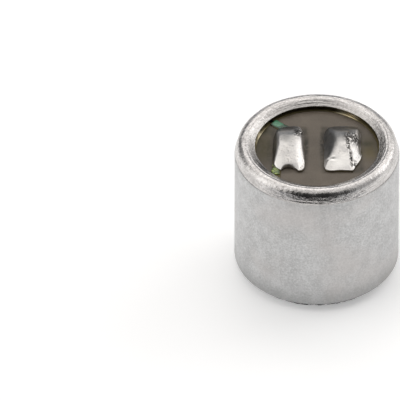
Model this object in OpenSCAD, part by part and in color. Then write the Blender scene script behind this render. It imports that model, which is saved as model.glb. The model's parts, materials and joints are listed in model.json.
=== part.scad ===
// Electret microphone capsule: a drawn aluminium can whose open end is rolled over a round
// circuit board with two solder terminals. The capsule stands on its dust felt, terminals up.
// Origin: centre of the felt's outer face. +Z points to the terminals. Millimetres.

/* [Case] */
// Outside diameter of the can
can_d = 6; // [5.4:0.1:9.8]
// Height of the can from its front face to the top of the rolled rim
can_h = 5.3; // [4.4:0.1:7]
// Thickness of the aluminium sheet
sheet_t = 0.18; // [0.14:0.01:0.24]
// Outside radius of the drawn front corner
corner_r = 0.2; // [0.1:0.02:0.4]
// Number of sound holes in the front wall
sound_holes = 6; // [3:1:8]
// Diameter of a sound hole
sound_hole_d = 0.5; // [0.3:0.05:0.8]
// Diameter of the circle that the sound holes lie on
sound_circle_d = 2.6; // [2:0.1:3.2]

/* [Rolled rim] */
// Outside radius of the shoulder where the wall starts to lean in
shoulder_r = 0.25; // [0.2:0.01:0.5]
// Angle at which the wall leans in above the shoulder
shoulder_turn = 24; // [16:1:34]
// Length of the straight lean between the shoulder and the roll
shoulder_run = 0.175; // [0.05:0.005:0.3]
// Outside radius of the roll along the top of the rim
ridge_r = 0.3; // [0.25:0.01:0.4]
// Angle at which the lip runs down towards the board
lip_slope = 30; // [18:1:38]
// Width of the rim from the side of the can to the inner edge of the lip
lip_reach = 0.74; // [0.55:0.01:0.9]

/* [Dust felt] */
// Thickness of the felt disc
felt_t = 0.25; // [0.15:0.01:0.5]
// Distance from the side of the can to the edge of the felt
felt_margin = 0.35; // [0.2:0.05:0.8]

/* [Diaphragm and back plate] */
// Thickness of the metal ring that stretches the diaphragm
ring_t = 0.3; // [0.15:0.05:0.6]
// Thickness of the diaphragm film
film_t = 0.02; // [0.015:0.005:0.05]
// Thickness of the spacer that sets the air gap
spacer_t = 0.08; // [0.04:0.01:0.15]
// Thickness of the electret film on the back plate
electret_t = 0.03; // [0.02:0.005:0.06]
// Thickness of the back plate
plate_t = 0.4; // [0.25:0.05:0.7]
// Width of the back plate's edge that bears on the spacer
plate_lap = 0.17; // [0.1:0.01:0.3]
// Number of air holes through the back plate
plate_holes = 4; // [3:1:6]
// Diameter of an air hole
plate_hole_d = 0.45; // [0.3:0.05:0.6]
// Diameter of the circle that the air holes lie on
plate_circle_d = 2.5; // [1.8:0.1:3]
// Wall of the plastic holder round the back plate
holder_wall = 0.35; // [0.25:0.01:0.45]
// Wall of the metal ring that joins the back plate to the board
gate_wall = 0.25; // [0.15:0.01:0.35]

/* [Circuit board] */
// Thickness of the board
board_t = 0.5; // [0.3:0.05:0.8]
// Thickness of the copper
copper_t = 0.035; // [0.02:0.005:0.07]
// Thickness of the green mask on the two earth tracks
mask_t = 0.02; // [0.01:0.005:0.04]
// Width of an earth track
track_w = 0.34; // [0.2:0.02:0.5]
// Directions from the middle of the board in which the two earth tracks meet the ring
track_angles = [136, 228];
// Width of copper that shows inside the lip
earth_show = 0.05; // [0.02:0.01:0.12]
// Diameter of a plated hole through the board
via_d = 0.3; // [0.2:0.02:0.4]

/* [Solder terminals] */
// Width of the earth terminal
earth_w = 1.16; // [0.9:0.02:1.3]
// Width of the output terminal
output_w = 1.37; // [0.9:0.02:1.5]
// Gap between the two terminals
pad_gap = 0.7; // [0.4:0.05:1]
// Length of a terminal
pad_l = 2.5; // [1.8:0.05:2.7]
// How square the front corners of a terminal are
front_squareness = 9; // [4:0.5:12]
// How square the back corners of a terminal are
back_squareness = 4.5; // [3:0.5:8]
// How square the back corner of the earth terminal beside its track is
track_corner_squareness = 2.4; // [2.2:0.1:6]
// Width of the notch in the front of the earth terminal
notch_w = 0.62; // [0.3:0.02:0.7]
// Distance of that notch to the right of the terminal's middle
notch_x = 0.03; // [-0.05:0.01:0.08]
// Depth of that notch
notch_depth = 0.29; // [0.1:0.01:0.4]
// Length of the leg left of the notch that is masked instead of soldered
leg_mask = 0.24; // [0:0.02:0.3]
// Direction that the cut-off front corner of the output terminal faces
bevel_angle = -24; // [-45:1:-15]
// Distance of that cut from the middle of the terminal
bevel_reach = 0.85; // [0.75:0.01:1.1]

/* [Solder mounds] */
// Height of the middle of a solder mound above its copper
solder_h = 0.44; // [0.3:0.02:0.7]
// Thickness of the solder along the edge of a mound
solder_edge = 0.05; // [0.03:0.01:0.12]
// Slope of the front face of a mound
front_slope = 20; // [12:1:30]
// Slope of the back face of a mound
back_slope = 23; // [12:1:35]
// Slope of the left flank of the earth mound
earth_left_slope = 63; // [40:1:75]
// Slope of the right flank of the earth mound
earth_right_slope = 72; // [40:1:78]
// Slope of the faces at the back corners of the earth mound
corner_slope = 43; // [30:1:60]
// Distance of those faces from the corners
corner_cut = 0.19; // [0:0.01:0.4]
// Slope of the flanks of the output mound
output_slope = 43; // [30:1:60]
// Slope of the face at the cut-off corner of the output mound
bevel_slope = 39; // [25:1:60]

/* [Transistor] */
// Length of the transistor body
fet_l = 2; // [1.4:0.1:2.2]
// Width of the transistor body
fet_w = 1.25; // [0.8:0.05:1.5]
// Height of the transistor body
fet_h = 0.8; // [0.5:0.05:1.1]
// Amount by which the long sides lean in above the leads
fet_draft = 0.08; // [0:0.01:0.2]
// Distance of the body's middle from the middle of the board
fet_y = 0.4; // [0.3:0.05:0.6]
// Distance between the two leads on one side
lead_pitch = 1.3; // [1:0.05:1.4]
// Width of a lead
lead_w = 0.3; // [0.2:0.02:0.4]
// Thickness of a lead
lead_t = 0.12; // [0.08:0.01:0.2]
// Distance that a lead reaches out from the body
lead_reach = 0.45; // [0.4:0.01:0.6]
// Length of a lead's foot on its land
lead_foot = 0.25; // [0.15:0.01:0.28]

/* [Chip capacitor] */
// Length of the capacitor
cap_l = 1; // [0.8:0.05:1.2]
// Width and height of the capacitor
cap_w = 0.5; // [0.3:0.05:0.6]
// Width of the metal band on each end
cap_band = 0.25; // [0.15:0.02:0.3]

/* [Clearances] */
// Radial gap between the can and the pieces stacked in it
fit_gap = 0.05; // [0.03:0.01:0.1]
// Radial gap between the holder and the metal pieces inside it
bore_gap = 0.03; // [0.02:0.01:0.06]
// Gap left under the lip and round the plated holes
seat_gap = 0.01; // [0.005:0.005:0.03]
// Smallest gap between two pieces of copper
copper_gap = 0.1; // [0.06:0.02:0.2]
// Smallest gap between a terminal and the earth ring
terminal_gap = 0.26; // [0.2:0.02:0.4]

/* [Hidden] */
$fn = 96;
// Steps along each round stretch of an outline
arc_steps = 16;
// Points round a terminal and rings up its solder mound
edge_steps = 64;
mound_rings = 14;
// How much closer together the rings are near the edge
ring_crowding = 1.3;
// How sharply the faces of a mound meet, how upright its edge is, and how soon its notch fades inwards
facet_blend = 6;
mound_edge_power = 14;
notch_fade = 4;
// Least height of a face, past its own edge
least_rise = 0.001;
// Smallest radius inside a bend of the sheet
least_bend = 0.02;
// Amount by which a cutting tool runs past a face
past = 1;

// Radii of the can
can_r = can_d / 2;
can_in_r = can_r - sheet_t;
corner_in_r = max(corner_r - sheet_t, least_bend);

// Rolled rim: centres of its two bends, and its lip, in radius and height
can_z = felt_t;
ridge_z = can_z + can_h;
roll_end = 90 + lip_slope;
roll_z = ridge_z - ridge_r;
shoulder_z = roll_z - (shoulder_r - ridge_r) * sin(shoulder_turn) - shoulder_run * cos(shoulder_turn);
roll_at_r = can_r - shoulder_r + (shoulder_r - ridge_r) * cos(shoulder_turn)
    - shoulder_run * sin(shoulder_turn);
roll_out = [roll_at_r + ridge_r * cos(roll_end), roll_z + ridge_r * sin(roll_end)];
lip_r = can_r - lip_reach;
lip_top = [lip_r, roll_out[1] - (roll_out[0] - lip_r) * tan(lip_slope)];
lip_foot = lip_top - sheet_t * [cos(roll_end), sin(roll_end)];

// Heights of the stack, from the front wall to the board
ring_z = can_z + sheet_t;
film_z = ring_z + ring_t;
spacer_z = film_z + film_t;
electret_z = spacer_z + spacer_t;
plate_z = electret_z + electret_t;
gate_z = plate_z + plate_t;
board_out_z = lip_foot[1] - seat_gap - copper_t;
board_in_z = board_out_z - board_t;
land_in_z = board_in_z - copper_t;
land_out_z = board_out_z + copper_t;

// Radii of the stack
stack_r = can_in_r - corner_in_r - fit_gap;
holder_in_r = stack_r - holder_wall;
plate_r = holder_in_r - bore_gap;
ring_in_r = plate_r - plate_lap;
gate_in_r = plate_r - gate_wall;

// The inside of the shoulder, and how far the wall has leaned in over the edge of the board
shoulder_in_r = max(shoulder_r - sheet_t, least_bend);
shoulder_in_z = shoulder_z + (shoulder_r - sheet_t - shoulder_in_r) * tan(shoulder_turn / 2);
bend_rise = shoulder_in_r * sin(shoulder_turn);
board_rise = max(land_out_z - shoulder_in_z, 0);
bend_lean = shoulder_in_r - sqrt(pow(shoulder_in_r, 2) - pow(min(board_rise, bend_rise), 2));
wall_lean = bend_lean + max(board_rise - bend_rise, 0) * tan(shoulder_turn);
board_r = can_in_r - fit_gap - wall_lean;
earth_in_r = lip_r - earth_show;
terminal_max_r = earth_in_r - terminal_gap;
gate_land_in_r = gate_in_r - copper_gap;

// Places of the terminals on the outside of the board: earth on the left, output on the right
pair_w = earth_w + pad_gap + output_w;
earth_at = [(earth_w - pair_w) / 2, 0];
output_at = [(pair_w - output_w) / 2, 0];

// Starts of the two earth tracks, under the back of the earth mound and in the leg left of its notch
leg_w = earth_w / 2 + notch_x - notch_w / 2;
track_from = [earth_at + [0, (pad_l - track_w) / 2],
    earth_at - [(earth_w - leg_w) / 2, pad_l / 2 - track_w]];

// Places of the inner parts on the board
via_hole_r = via_d / 2;
toe_y = fet_y - fet_w / 2 - lead_reach;
gate_toe_y = fet_y + fet_w / 2 + lead_reach;
fillet = lead_t;
cap_y = toe_y - fillet - copper_gap - cap_w / 2;
via_y = toe_y + lead_foot / 2;
vias = [[earth_at[0], via_y], [output_at[0], via_y]];
land_x = [cap_l / 2 - cap_band, max(-earth_at[0], output_at[0]) + via_d];
land_y = [cap_y - cap_w / 2 - fillet / 2, toe_y + lead_foot + fillet];

// Points on an arc from one angle to another
function arc(centre, r, from, to) =
    [for (i = [0:arc_steps]) let (a = from + (to - from) * i / arc_steps)
        centre + r * [cos(a), sin(a)]];

// Point on the edge of a square from -1 to 1, counted from its front left corner
function square_point(i) =
    let (side = floor(4 * i / edge_steps), run = 8 * i / edge_steps - 2 * side - 1)
    [[run, -1], [1, run], [-run, 1], [-1, -run]][side];

// Depth of the notch, an arch in the front edge, at the given place across the terminal
function notch_at(x) = notch_depth * sqrt(max(1 - pow(2 * (x - notch_x) / notch_w, 2), 0));

// Point of a soft-cornered rectangle round the middle of a terminal, from a point on the square
function soft_corner(q, w, l, left_back = back_squareness) =
    let (power = q[1] < 0 ? front_squareness : q[0] < 0 ? left_back : back_squareness,
        soft = pow(pow(abs(q[0]), power) + pow(abs(q[1]), power), -1 / power))
    [q[0] * w, q[1] * l] * soft / 2;

// The same place pulled in until it keeps clear of the rim
function inside_rim(p, margin = 0) = p * min(1, (terminal_max_r + margin) / norm(p));

// Edge of the earth terminal, with its notch and with the given length of its left leg left out
function earth_edge(notched = true, leg = 0, margin = 0) =
    let (leg_share = 1 - leg / (pad_l / 2 + margin))
    [for (i = [0:edge_steps - 1])
        let (q = square_point(i),
            p = soft_corner(q, earth_w + 2 * margin, pad_l + 2 * margin, track_corner_squareness),
            front = p[1] + (notched && q[1] == -1 ? notch_at(p[0]) : 0),
            y = p[0] < notch_x && p[1] < 0 ? max(front, p[1] * leg_share) : front)
        inside_rim(earth_at + [p[0], y], margin)];

// Edge of the output terminal, with one front corner cut off
function output_edge() =
    [for (i = [0:edge_steps - 1])
        let (p = soft_corner(square_point(i), output_w, pad_l),
            reach = p * [cos(bevel_angle), sin(bevel_angle)])
        inside_rim(output_at + (reach > bevel_reach ? p * bevel_reach / reach : p))];

// Faces of the mounds: the direction that each faces, its distance from the middle and its slope
corner_reach = (earth_w + pad_l) / 2 * cos(45) - corner_cut;
earth_faces = [[-90, pad_l / 2, front_slope], [90, pad_l / 2, back_slope],
    [180, earth_w / 2, earth_left_slope], [0, earth_w / 2, earth_right_slope],
    [135, corner_reach, corner_slope], [45, corner_reach, corner_slope]];
output_faces = [[-90, pad_l / 2, front_slope], [90, pad_l / 2, back_slope],
    [180, output_w / 2, output_slope], [0, output_w / 2, output_slope],
    [bevel_angle, bevel_reach, bevel_slope]];

// Height at which a face passes over the given place, measured from the middle of its terminal
function face_rise(p, face) =
    max(face[1] - p * [cos(face[0]), sin(face[0])], least_rise) * tan(face[2]);

// The lowest of all faces and of the crest's height, with the meeting edges rounded off
function blended_rise(p, faces) =
    let (shares = [for (face = faces) pow(face_rise(p, face), -facet_blend)])
    pow(pow(solder_h, -facet_blend) + shares * [for (share = shares) 1], -1 / facet_blend);

// Flat ring standing on the given height
module ring(z, h, r_out, r_in) {
    translate([0, 0, z])
        difference() {
            cylinder(h = h, r = r_out);
            translate([0, 0, -past]) cylinder(h = h + 2 * past, r = r_in);
        }
}

// Copper of the given outline on the outside of the board
module outer_copper() {
    translate([0, 0, board_out_z]) linear_extrude(copper_t) children();
}

// Copper of the given outline on the inside of the board
module inner_copper() {
    translate([0, 0, land_in_z]) linear_extrude(copper_t) children();
}

// Case: one drawn sheet, from the middle of the front wall to the edge of the lip
module case_outline() {
    polygon(concat(
        [[0, can_z]],
        arc([can_r - corner_r, can_z + corner_r], corner_r, -90, 0),
        arc([can_r - shoulder_r, shoulder_z], shoulder_r, 0, shoulder_turn),
        arc([roll_at_r, roll_z], ridge_r, shoulder_turn, roll_end),
        [lip_top, lip_foot],
        arc([roll_at_r, roll_z], ridge_r - sheet_t, roll_end, shoulder_turn),
        arc([can_in_r - shoulder_in_r, shoulder_in_z], shoulder_in_r, shoulder_turn, 0),
        arc([can_in_r - corner_in_r, ring_z + corner_in_r], corner_in_r, 0, -90),
        [[0, ring_z]]));
}

module case() {
    color("silver")
        difference() {
            rotate_extrude() case_outline();
            for (i = [0:sound_holes - 1])
                rotate([0, 0, i * 360 / sound_holes])
                    translate([sound_circle_d / 2, 0, can_z - past])
                        cylinder(h = sheet_t + 2 * past, d = sound_hole_d);
        }
}

module dust_felt() {
    color([0.06, 0.06, 0.06]) cylinder(h = felt_t, r = can_r - felt_margin);
}

module diaphragm_ring() {
    color("goldenrod") ring(ring_z, ring_t, stack_r, ring_in_r);
}

module diaphragm_film() {
    color("lightsteelblue") translate([0, 0, film_z]) cylinder(h = film_t, r = stack_r);
}

module spacer_ring() {
    color("ivory") ring(spacer_z, spacer_t, stack_r, ring_in_r);
}

// Air holes through the back plate and the electret film on it
module air_holes(z, h) {
    for (i = [0:plate_holes - 1])
        rotate([0, 0, (i + 0.5) * 360 / plate_holes])
            translate([plate_circle_d / 2, 0, z - past])
                cylinder(h = h + 2 * past, d = plate_hole_d);
}

module plate_disc(z, h) {
    difference() {
        translate([0, 0, z]) cylinder(h = h, r = plate_r);
        air_holes(z, h);
    }
}

module electret_film() {
    color("whitesmoke") plate_disc(electret_z, electret_t);
}

module back_plate() {
    color("goldenrod") plate_disc(plate_z, plate_t);
}

module plate_holder() {
    color([0.85, 0.84, 0.8]) ring(electret_z, board_in_z - electret_z, stack_r, holder_in_r);
}

module gate_ring() {
    color("gold") ring(gate_z, land_in_z - gate_z, plate_r, gate_in_r);
}

module circuit_board() {
    color([0.36, 0.33, 0.29])
        difference() {
            translate([0, 0, board_in_z]) cylinder(h = board_t, r = board_r);
            for (at = vias)
                translate([at[0], at[1], board_in_z - past])
                    cylinder(h = board_t + 2 * past, r = via_hole_r);
        }
}

module plated_holes() {
    color("darkgoldenrod")
        for (at = vias)
            translate([at[0], at[1], board_in_z])
                cylinder(h = board_t, r = via_hole_r - seat_gap);
}

// Straight tracks from the earth terminal to the ring under the lip
module track_outline() {
    for (i = [0, 1]) {
        run = lip_r * [cos(track_angles[i]), sin(track_angles[i])] - track_from[i];
        translate(track_from[i])
            rotate([0, 0, atan2(run[1], run[0])])
                translate([0, -track_w / 2])
                    square([norm(run) + track_w / 2, track_w]);
    }
}

module earth_land() {
    color("darkgoldenrod")
        outer_copper() {
            difference() {
                circle(r = board_r - copper_gap);
                circle(r = earth_in_r);
            }
            track_outline();
            polygon(earth_edge());
        }
}

module output_land() {
    color("darkgoldenrod") outer_copper() polygon(output_edge());
}

module track_mask() {
    color("seagreen")
        translate([0, 0, land_out_z])
            linear_extrude(mask_t)
                difference() {
                    intersection() {
                        track_outline();
                        circle(r = earth_in_r);
                    }
                    polygon(earth_edge(leg = leg_mask, margin = seat_gap));
                }
}

// Solder mound: rings that rise from the edge of its terminal along its faces to the crest.
// The full outline is the edge without its notch, which fades out towards the crest.
module solder_mound(edge, full, at, faces) {
    n = edge_steps;
    last = n * mound_rings;
    crest_rise = solder_h - solder_edge;
    scale_up = crest_rise / blended_rise([0, 0], faces);
    foot = [for (p = edge) [p[0], p[1], land_out_z]];
    dome = [for (k = [0:mound_rings - 1], i = [0:n - 1])
        let (share = 1 - pow(k / mound_rings, ring_crowding),
            q = at + share * (full[i] - at) + pow(share, notch_fade) * (edge[i] - full[i]),
            lift = blended_rise(q - at, faces) * sqrt(1 - pow(share, mound_edge_power)))
        [q[0], q[1], land_out_z + solder_edge + scale_up * lift]];
    crest = [at[0], at[1], land_out_z + solder_h];
    sides = [for (k = [0:mound_rings - 1], i = [0:n - 1])
        let (a = k * n + i, b = k * n + (i + 1) % n)
        each [[a, a + n, b + n], [a, b + n, b]]];
    top = [for (i = [0:n - 1]) [last + i, last + n, last + (i + 1) % n]];
    base = [for (i = [0:n - 1]) i];
    polyhedron(points = concat(foot, dome, [crest]), faces = concat([base], sides, top));
}

module earth_solder() {
    color("gainsboro")
        solder_mound(earth_edge(leg = leg_mask), earth_edge(notched = false), earth_at, earth_faces);
}

module output_solder() {
    color("gainsboro") solder_mound(output_edge(), output_edge(), output_at, output_faces);
}

// Ring under the gate contact ring, with a tab to the transistor's gate
module gate_land() {
    tab_w = lead_w + copper_gap;
    tab_y = gate_toe_y - lead_foot - fillet;
    color("darkgoldenrod")
        inner_copper() {
            difference() {
                circle(r = holder_in_r - bore_gap);
                circle(r = gate_land_in_r);
            }
            translate([-tab_w / 2, tab_y]) square([tab_w, gate_land_in_r + copper_gap / 2 - tab_y]);
        }
}

// Land that joins a lead, one end of the capacitor and a plated hole
module inner_land(side) {
    inner_copper()
        intersection() {
            translate([side > 0 ? land_x[0] : -land_x[1], land_y[0]])
                square([land_x[1] - land_x[0], land_y[1] - land_y[0]]);
            circle(r = gate_land_in_r - copper_gap);
        }
}

module source_land() {
    color("darkgoldenrod") inner_land(-1);
}

module drain_land() {
    color("darkgoldenrod") inner_land(1);
}

// The inner parts are drawn with their lands at zero and turned over onto the board
module on_inside() {
    translate([0, 0, land_in_z]) mirror([0, 0, 1]) children();
}

// Transistor body: upright sides up to the leads, sloping sides above them
module transistor_body() {
    lead_top = fet_h / 2 + lead_t;
    outline = [[-fet_w / 2, copper_t], [fet_w / 2, copper_t], [fet_w / 2, lead_top],
        [fet_w / 2 - fet_draft, fet_h], [fet_draft - fet_w / 2, fet_h], [-fet_w / 2, lead_top]];
    color([0.1, 0.1, 0.11])
        on_inside()
            translate([-fet_l / 2, fet_y, 0])
                rotate([90, 0, 90]) linear_extrude(fet_l) polygon(outline);
}

// Lead: out of the body, down to its land and along it, drawn pointing along +Y
module bent_lead(x, y) {
    drop = fet_h / 2;
    knee = lead_reach - lead_foot;
    outline = [[0, drop], [0, drop + lead_t], [knee, drop + lead_t], [knee + lead_t / 2, lead_t],
        [lead_reach, lead_t], [lead_reach, 0], [knee - lead_t / 2, 0], [knee - lead_t, drop]];
    translate([x - lead_w / 2, y, 0])
        rotate([90, 0, 90]) linear_extrude(lead_w) polygon(outline);
}

module side_lead(side) {
    on_inside() mirror([0, 1, 0]) bent_lead(side * lead_pitch / 2, fet_w / 2 - fet_y);
}

module gate_lead() {
    color("lightgray") on_inside() bent_lead(0, fet_y + fet_w / 2);
}

module source_lead() {
    color("lightgray") side_lead(-1);
}

module drain_lead() {
    color("lightgray") side_lead(1);
}

module capacitor_body() {
    core_l = cap_l - 2 * cap_band;
    color("peru")
        on_inside() translate([-core_l / 2, cap_y - cap_w / 2, 0]) cube([core_l, cap_w, cap_w]);
}

module capacitor_bands() {
    color("lightgray")
        on_inside()
            for (x = [-cap_l / 2, cap_l / 2 - cap_band])
                translate([x, cap_y - cap_w / 2, 0]) cube([cap_band, cap_w, cap_w]);
}

// Wedge of solder at the end of a lead or a band, drawn pointing along +X
module wedge(width) {
    translate([0, width / 2, 0])
        rotate([90, 0, 0]) linear_extrude(width) polygon([[0, 0], [fillet, 0], [0, fillet]]);
}

module joint_solder() {
    color("gainsboro")
        on_inside() {
            translate([0, gate_toe_y, 0]) rotate([0, 0, 90]) wedge(lead_w);
            for (side = [-1, 1]) {
                translate([side * lead_pitch / 2, toe_y, 0]) rotate([0, 0, -90]) wedge(lead_w);
                translate([side * cap_l / 2, cap_y, 0]) rotate([0, 0, side > 0 ? 0 : 180]) wedge(cap_w);
            }
        }
}

case();
dust_felt();
diaphragm_ring();
diaphragm_film();
spacer_ring();
electret_film();
back_plate();
plate_holder();
gate_ring();
circuit_board();
earth_land();
output_land();
track_mask();
gate_land();
source_land();
drain_land();
plated_holes();
transistor_body();
gate_lead();
source_lead();
drain_lead();
capacitor_body();
capacitor_bands();
joint_solder();
earth_solder();
output_solder();
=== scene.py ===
import json
import math
import random

import bmesh
import bpy
import numpy as np
from mathutils import Euler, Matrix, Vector, noise


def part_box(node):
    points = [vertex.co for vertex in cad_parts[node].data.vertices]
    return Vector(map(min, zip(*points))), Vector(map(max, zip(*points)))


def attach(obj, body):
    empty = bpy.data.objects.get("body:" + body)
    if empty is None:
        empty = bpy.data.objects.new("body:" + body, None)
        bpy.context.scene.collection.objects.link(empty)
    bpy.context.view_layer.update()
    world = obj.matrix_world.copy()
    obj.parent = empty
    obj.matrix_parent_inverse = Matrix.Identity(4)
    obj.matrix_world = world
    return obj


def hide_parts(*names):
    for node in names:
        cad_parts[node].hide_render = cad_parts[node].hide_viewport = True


# Looks of an electret microphone capsule that stands on its dust felt, solder terminals up.
# Lengths are written in millimetres and turned into metres when a mesh is made.

MM = 0.001
TINY = 1e-6
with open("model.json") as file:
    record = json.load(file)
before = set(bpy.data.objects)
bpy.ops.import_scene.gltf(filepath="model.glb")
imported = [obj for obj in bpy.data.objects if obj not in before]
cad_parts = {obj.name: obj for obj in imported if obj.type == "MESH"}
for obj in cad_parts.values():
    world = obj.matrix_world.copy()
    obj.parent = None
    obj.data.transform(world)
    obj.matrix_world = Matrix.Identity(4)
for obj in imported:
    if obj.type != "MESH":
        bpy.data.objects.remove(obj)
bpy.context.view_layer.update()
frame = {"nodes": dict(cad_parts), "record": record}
nodes = frame["nodes"]


def box_mm(node):
    """Lowest and highest corner of a CAD node, in millimetres."""
    low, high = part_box(node)
    return Vector(low) / MM, Vector(high) / MM


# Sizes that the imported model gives
case_low, case_high = box_mm("case")
CAN_R = case_high.x
CAN_Z = case_low.z
RIDGE_Z = case_high.z
felt_high = box_mm("dust_felt")[1]
FELT_R = felt_high.x
FELT_T = felt_high.z
board_low, board_high = box_mm("circuit_board")
BOARD_R = board_high.x
BOARD_Z = board_low.z
BOARD_TOP = board_high.z
LAND_TOP = box_mm("earth_land")[1].z
RING_R = box_mm("earth_land")[1].x
MASK_TOP = box_mm("track_mask")[1].z

# Sizes of the can that follow the CAD model's own outline
SHEET_T = 0.18
CORNER_R = 0.2
CORNER_IN_R = 0.02
SHOULDER_R = 0.25
SHOULDER_TURN = 24
SHOULDER_RUN = 0.175
RIDGE_R = 0.3
LIP_SLOPE = 30
LIP_R = CAN_R - 0.74
EARTH_IN_R = LIP_R - 0.05
SOUND_HOLES = 6
SOUND_HOLE_R = 0.25
SOUND_CIRCLE_R = 1.3
ROLL_END = 90 + LIP_SLOPE
ROLL_Z = RIDGE_Z - RIDGE_R
TURN = math.radians(SHOULDER_TURN)
SHOULDER_Z = ROLL_Z - (SHOULDER_R - RIDGE_R) * math.sin(TURN) - SHOULDER_RUN * math.cos(TURN)
ROLL_AT_R = CAN_R - SHOULDER_R + (SHOULDER_R - RIDGE_R) * math.cos(TURN) - SHOULDER_RUN * math.sin(TURN)

# Marks of the rolling tool on the rim: a shallow groove, a lean that starts a little low, a crease at the
# shoulder and a faint unevenness
GROOVE_R = CAN_R - 0.43
GROOVE_W = 0.03
GROOVE_DEPTH = 0.012
LEAN_Z = SHOULDER_Z - 0.07
LEAN_EDGE = 0.01
CREASE_Z = LEAN_Z + 0.03
CREASE_W = 0.022
CREASE_DEPTH = 0.014
RIM_WOBBLE = 0.008

# Sizes of the terminals that follow the CAD model's own outlines
TERMINAL_MAX_R = EARTH_IN_R - 0.26
FRONT_SQUARENESS = 9
BACK_SQUARENESS = 4.5
TRACK_CORNER_SQUARENESS = 2.4
NOTCH_W = 0.62
NOTCH_X = 0.03
NOTCH_DEPTH = 0.29
LEG_MASK = 0.24
BEVEL_ANGLE = -24
BEVEL_REACH = 0.85
SOLDER_H = 0.44
SOLDER_EDGE = 0.05
TRACK_W = 0.34
TRACK_ANGLES = (136, 228)

# Solder that runs a little into the notch, and mask with ragged edges that stops short of the lip
SOLDER_NOTCH_DEPTH = 0.22
NOTCH_SKEW = 0.45
MASK_LENGTHS = (0.7, 0.52)
MASK_RAGGED = (0.15, 0.7)

# Steps round the turned pieces
CAN_STEPS = 360
HOLE_STEPS = 32
DISC_STEPS = 256
RING_STEPS = 320

# Camera: looks 40 degrees down, with the middle of the rim at this pixel of the 400 pixel frame
ELEVATION = 40
PIXELS_PER_MM = 27.5
FRAME_PIXELS = 400
RIM_PIXEL = (317.0, 142.2)
DISTANCE = 659
SENSOR = 36


# Shape helpers

def hump(x, middle, width):
    """Bell curve that is 1 in its middle."""
    return math.exp(-((x - middle) / width) ** 2)


def step(x, low, high):
    """Smooth rise from 0 to 1 between two places."""
    t = min(max((x - low) / (high - low), 0), 1)
    return t * t * (3 - 2 * t)


def add_mesh(name, verts, faces, material):
    """New object from points in millimetres."""
    mesh = bpy.data.meshes.new(name)
    mesh.from_pydata([tuple(c * MM for c in v) for v in verts], [], faces)
    mesh.validate()
    obj = bpy.data.objects.new(name, mesh)
    bpy.context.collection.objects.link(obj)
    mesh.materials.append(material)
    return obj


def smooth(obj, sharp_angle=40):
    """Smooth shading, with the edges that turn more than the given angle left sharp."""
    bm = bmesh.new()
    bm.from_mesh(obj.data)
    bmesh.ops.recalc_face_normals(bm, faces=bm.faces)
    for face in bm.faces:
        face.smooth = True
    for edge in bm.edges:
        edge.smooth = len(edge.link_faces) != 2 or edge.calc_face_angle() < math.radians(sharp_angle)
    bm.to_mesh(obj.data)
    bm.free()


def arc(centre, r, start, end, steps):
    """Points on an arc, as radius and height."""
    angles = np.radians(np.linspace(start, end, steps + 1))
    return [(centre[0] + r * math.cos(a), centre[1] + r * math.sin(a)) for a in angles]


def lathe_mesh(outline, segments):
    """Points and faces of an outline of radius and height turned round the z axis.
    An outline that starts and ends on the axis gets a pole there; any other one is closed on itself."""
    verts, rows = [], []
    for r, z in outline:
        if r < TINY:
            rows.append([len(verts)] * segments)
            verts.append((0, 0, z))
            continue
        rows.append(list(range(len(verts), len(verts) + segments)))
        for i in range(segments):
            a = 2 * math.pi * i / segments
            verts.append((r * math.cos(a), r * math.sin(a), z))
    pairs = list(zip(rows, rows[1:]))
    if outline[0][0] > TINY:
        pairs.append((rows[-1], rows[0]))
    faces = []
    for lower, upper in pairs:
        for i in range(segments):
            j = (i + 1) % segments
            quad = list(dict.fromkeys((lower[i], lower[j], upper[j], upper[i])))
            if len(quad) > 2:
                faces.append(quad)
    return verts, faces


def lathe(name, outline, segments, material):
    return add_mesh(name, *lathe_mesh(outline, segments), material)


def prism_mesh(outline, low, high, bevel):
    """Points and faces of a flat plate with the given outline and a small bevel round its top."""
    n = len(outline)
    middle = (sum(p[0] for p in outline) / n, sum(p[1] for p in outline) / n)
    verts = [(x, y, low) for x, y in outline] + [(x, y, high - bevel) for x, y in outline]
    for x, y in outline:
        away = math.hypot(x - middle[0], y - middle[1])
        inset = 1 - bevel / away
        verts.append((middle[0] + (x - middle[0]) * inset, middle[1] + (y - middle[1]) * inset, high))
    faces = [list(range(n))[::-1], list(range(2 * n, 3 * n))]
    for k in (0, n):
        faces += [(k + i, k + (i + 1) % n, k + n + (i + 1) % n, k + n + i) for i in range(n)]
    return verts, faces


def ribbon_mesh(start, end, width, low, high, squareness, ragged=0.0, along=40, across=16):
    """Points and faces of a straight flat strip whose upper side rounds off along its edges.
    A ragged strip is drawn in here and there along both edges."""
    edge_share = 0.25
    start, end = Vector(start), Vector(end)
    ahead = (end - start).normalized()
    side = Vector((-ahead.y, ahead.x))
    verts, faces = [], []
    row = across + 3
    for i in range(along + 1):
        at = start.lerp(end, i / along)
        drawn_in = [max(noise.noise((at.x * 7, at.y * 7, seed)) + 0.3, 0) for seed in (1.5, 6.5)]
        reach = [width / 2 * (1 - ragged * share) for share in drawn_in]
        left, right = at + side * reach[0], at - side * reach[1]
        verts += [(left.x, left.y, low)]
        for j in range(across + 1):
            t = 1 - 2 * j / across
            p = at + side * t * reach[0 if t > 0 else 1]
            rise = edge_share + (1 - edge_share) * math.sqrt(1 - abs(t) ** squareness)
            verts.append((p.x, p.y, low + (high - low) * rise))
        verts += [(right.x, right.y, low)]
    for i in range(along):
        for j in range(row):
            a, b = i * row + j, i * row + (j + 1) % row
            faces.append((a, b, b + row, a + row))
    faces.append(list(range(row))[::-1])
    faces.append(list(range(along * row, (along + 1) * row)))
    return verts, faces


def joined(*meshes):
    """One list of points and faces from several."""
    verts, faces = [], []
    for more_verts, more_faces in meshes:
        base = len(verts)
        verts += more_verts
        faces += [[k + base for k in face] for face in more_faces]
    return verts, faces


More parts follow.
